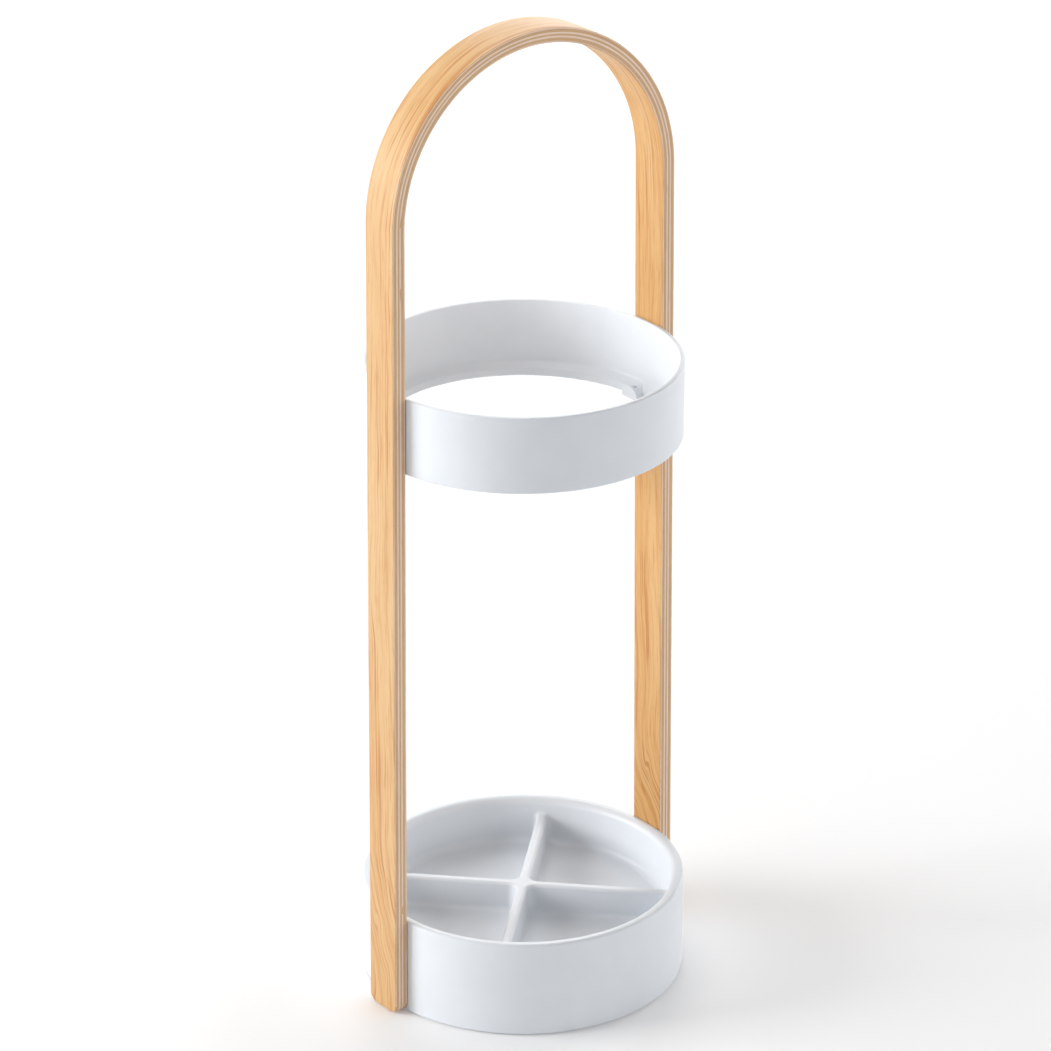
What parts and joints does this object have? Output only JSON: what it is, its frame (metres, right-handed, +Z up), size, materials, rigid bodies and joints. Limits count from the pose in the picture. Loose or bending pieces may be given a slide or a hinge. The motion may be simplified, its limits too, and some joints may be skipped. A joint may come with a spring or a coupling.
{
  "type": "umbrella stand",
  "caption": "Free-standing umbrella stand: bentwood hoop, plastic guide ring between its legs and a round weighted base dish divided by a cross.",
  "frame": {"origin": "on the floor under the middle of the base", "axes": "+Z up, +X towards the right leg of the hoop, +Y towards the back, through the hoop"},
  "size_m": [0.225, 0.208, 0.6347],
  "materials": {
    "face_veneer": "clear satin lacquer over honey-coloured veneer, grain along the strap",
    "core_ply": "sanded ply edge, brown",
    "cross_ply": "sanded ply edge, pale",
    "white_plastic": "smooth satin moulding, cool white",
    "brass_insert": "turned",
    "zinc_steel": "zinc plated",
    "ballast_iron": "cast, dark primer",
    "cover_plastic": "light grey, fine texture",
    "foot_rubber": "matt black"
  },
  "bodies": {
    "root": {"hoop_inner_veneer": "face_veneer", "hoop_inner_core_ply": "core_ply", "hoop_inner_cross_ply": "cross_ply", "hoop_middle_ply": "core_ply", "hoop_outer_cross_ply": "cross_ply", "hoop_outer_core_ply": "core_ply", "hoop_outer_veneer": "face_veneer", "upper_ring": "white_plastic", "ring_screw_covers": "white_plastic", "base_tray": "white_plastic", "ring_inserts": "brass_insert", "leg_inserts": "brass_insert", "ring_screws": "zinc_steel", "ring_washers": "zinc_steel", "leg_screws": "zinc_steel", "leg_screw_washers": "zinc_steel", "ballast_screws": "zinc_steel", "bottom_cover_screws": "zinc_steel", "ballast_plate": "ballast_iron", "bottom_cover": "cover_plastic", "rubber_foot_right": "foot_rubber", "rubber_foot_back": "foot_rubber", "rubber_foot_left": "foot_rubber", "rubber_foot_front": "foot_rubber"}
  },
  "joints": []
}
